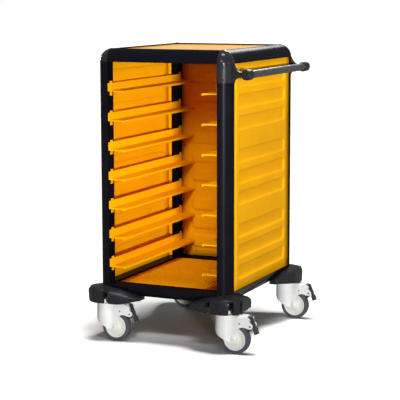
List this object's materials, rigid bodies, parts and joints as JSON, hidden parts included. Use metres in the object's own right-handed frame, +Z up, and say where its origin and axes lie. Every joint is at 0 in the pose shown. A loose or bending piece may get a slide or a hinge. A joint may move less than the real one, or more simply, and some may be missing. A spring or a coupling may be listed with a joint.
{
  "type": "tray trolley",
  "caption": "Open-fronted tray trolley: panelled cabinet of rounded profiles with inner tray rails, corner bumpers, side push handle and braked swivel castors.",
  "frame": {"origin": "on the floor under the middle of the cabinet", "axes": "+Z up, the open front faces -Y, the push handle is on +X"},
  "size_m": [0.6132, 0.67, 0.978],
  "materials": {
    "frame_black": "black gloss coat",
    "black_plastic": "satin",
    "yellow_panel": "satin",
    "rail_orange": "satin",
    "bumper_plastic": "satin",
    "handle_grey": "satin",
    "steel": "bright",
    "black_steel": "black satin",
    "castor_plastic": "satin",
    "tyre": "matte",
    "pedal_plastic": "satin"
  },
  "bodies": {
    "frame": {"post_front_left": "frame_black", "post_front_right": "frame_black", "post_rear_left": "frame_black", "post_rear_right": "frame_black", "top_rail_front": "frame_black", "bottom_rail_front": "frame_black", "top_rail_rear": "frame_black", "bottom_rail_rear": "frame_black", "top_rail_left": "frame_black", "bottom_rail_left": "frame_black", "top_rail_right": "frame_black", "bottom_rail_right": "frame_black", "corner_caps": "black_plastic", "corner_blocks": "black_plastic", "panel_left": "yellow_panel", "panel_right": "yellow_panel", "panel_rear": "yellow_panel", "panel_top": "yellow_panel", "panel_floor": "yellow_panel", "tray_rails_1": "rail_orange", "tray_rails_2": "rail_orange", "tray_rails_3": "rail_orange", "tray_rails_4": "rail_orange", "tray_rails_5": "rail_orange", "tray_rails_6": "rail_orange", "tray_rails_7": "rail_orange", "bumper_front_left": "bumper_plastic", "bumper_front_right": "bumper_plastic", "bumper_rear_left": "bumper_plastic", "bumper_rear_right": "bumper_plastic", "handle_tube": "handle_grey", "handle_bracket_front": "black_plastic", "handle_bracket_rear": "black_plastic", "handle_screws": "black_steel", "castor_stems": "steel"},
    "castor_front_left_swivel": {"castor_hood_front_left": "castor_plastic", "castor_pins_front_left": "black_steel"},
    "castor_front_left_wheel": {"castor_rim_front_left": "castor_plastic", "castor_tyre_front_left": "tyre", "castor_bushes_front_left": "black_plastic"},
    "castor_front_left_pedal": {"castor_pedal_front_left": "pedal_plastic"},
    "castor_front_right_swivel": {"castor_hood_front_right": "castor_plastic", "castor_pins_front_right": "black_steel"},
    "castor_front_right_wheel": {"castor_rim_front_right": "castor_plastic", "castor_tyre_front_right": "tyre", "castor_bushes_front_right": "black_plastic"},
    "castor_front_right_pedal": {"castor_pedal_front_right": "pedal_plastic"},
    "castor_rear_left_swivel": {"castor_hood_rear_left": "castor_plastic", "castor_pins_rear_left": "black_steel"},
    "castor_rear_left_wheel": {"castor_rim_rear_left": "castor_plastic", "castor_tyre_rear_left": "tyre", "castor_bushes_rear_left": "black_plastic"},
    "castor_rear_left_pedal": {"castor_pedal_rear_left": "pedal_plastic"},
    "castor_rear_right_swivel": {"castor_hood_rear_right": "castor_plastic", "castor_pins_rear_right": "black_steel"},
    "castor_rear_right_wheel": {"castor_rim_rear_right": "castor_plastic", "castor_tyre_rear_right": "tyre", "castor_bushes_rear_right": "black_plastic"},
    "castor_rear_right_pedal": {"castor_pedal_rear_right": "pedal_plastic"}
  },
  "joints": [
    {"name": "swivel_front_left", "type": "hinge", "parent": "frame", "child": "castor_front_left_swivel", "pos_m": [-0.2165, -0.273, 0.12], "axis": [0, 0, 1], "continuous": true},
    {"name": "wheel_front_left", "type": "hinge", "parent": "castor_front_left_swivel", "child": "castor_front_left_wheel", "pos_m": [-0.178, -0.273, 0.05], "axis": [0, 1, 0], "continuous": true},
    {"name": "pedal_front_left", "type": "hinge", "parent": "castor_front_left_swivel", "child": "castor_front_left_pedal", "pos_m": [-0.1215, -0.273, 0.098], "axis": [0, 1, 0], "range_deg": [0, 20]},
    {"name": "swivel_front_right", "type": "hinge", "parent": "frame", "child": "castor_front_right_swivel", "pos_m": [0.2165, -0.273, 0.12], "axis": [0, 0, 1], "continuous": true},
    {"name": "wheel_front_right", "type": "hinge", "parent": "castor_front_right_swivel", "child": "castor_front_right_wheel", "pos_m": [0.255, -0.273, 0.05], "axis": [0, 1, 0], "continuous": true},
    {"name": "pedal_front_right", "type": "hinge", "parent": "castor_front_right_swivel", "child": "castor_front_right_pedal", "pos_m": [0.3115, -0.273, 0.098], "axis": [0, 1, 0], "range_deg": [0, 20]},
    {"name": "swivel_rear_left", "type": "hinge", "parent": "frame", "child": "castor_rear_left_swivel", "pos_m": [-0.2165, 0.273, 0.12], "axis": [0, 0, 1], "continuous": true},
    {"name": "wheel_rear_left", "type": "hinge", "parent": "castor_rear_left_swivel", "child": "castor_rear_left_wheel", "pos_m": [-0.178, 0.273, 0.05], "axis": [0, 1, 0], "continuous": true},
    {"name": "pedal_rear_left", "type": "hinge", "parent": "castor_rear_left_swivel", "child": "castor_rear_left_pedal", "pos_m": [-0.1215, 0.273, 0.098], "axis": [0, 1, 0], "range_deg": [0, 20]},
    {"name": "swivel_rear_right", "type": "hinge", "parent": "frame", "child": "castor_rear_right_swivel", "pos_m": [0.2165, 0.273, 0.12], "axis": [0, 0, 1], "continuous": true},
    {"name": "wheel_rear_right", "type": "hinge", "parent": "castor_rear_right_swivel", "child": "castor_rear_right_wheel", "pos_m": [0.255, 0.273, 0.05], "axis": [0, 1, 0], "continuous": true},
    {"name": "pedal_rear_right", "type": "hinge", "parent": "castor_rear_right_swivel", "child": "castor_rear_right_pedal", "pos_m": [0.3115, 0.273, 0.098], "axis": [0, 1, 0], "range_deg": [0, 20]}
  ]
}
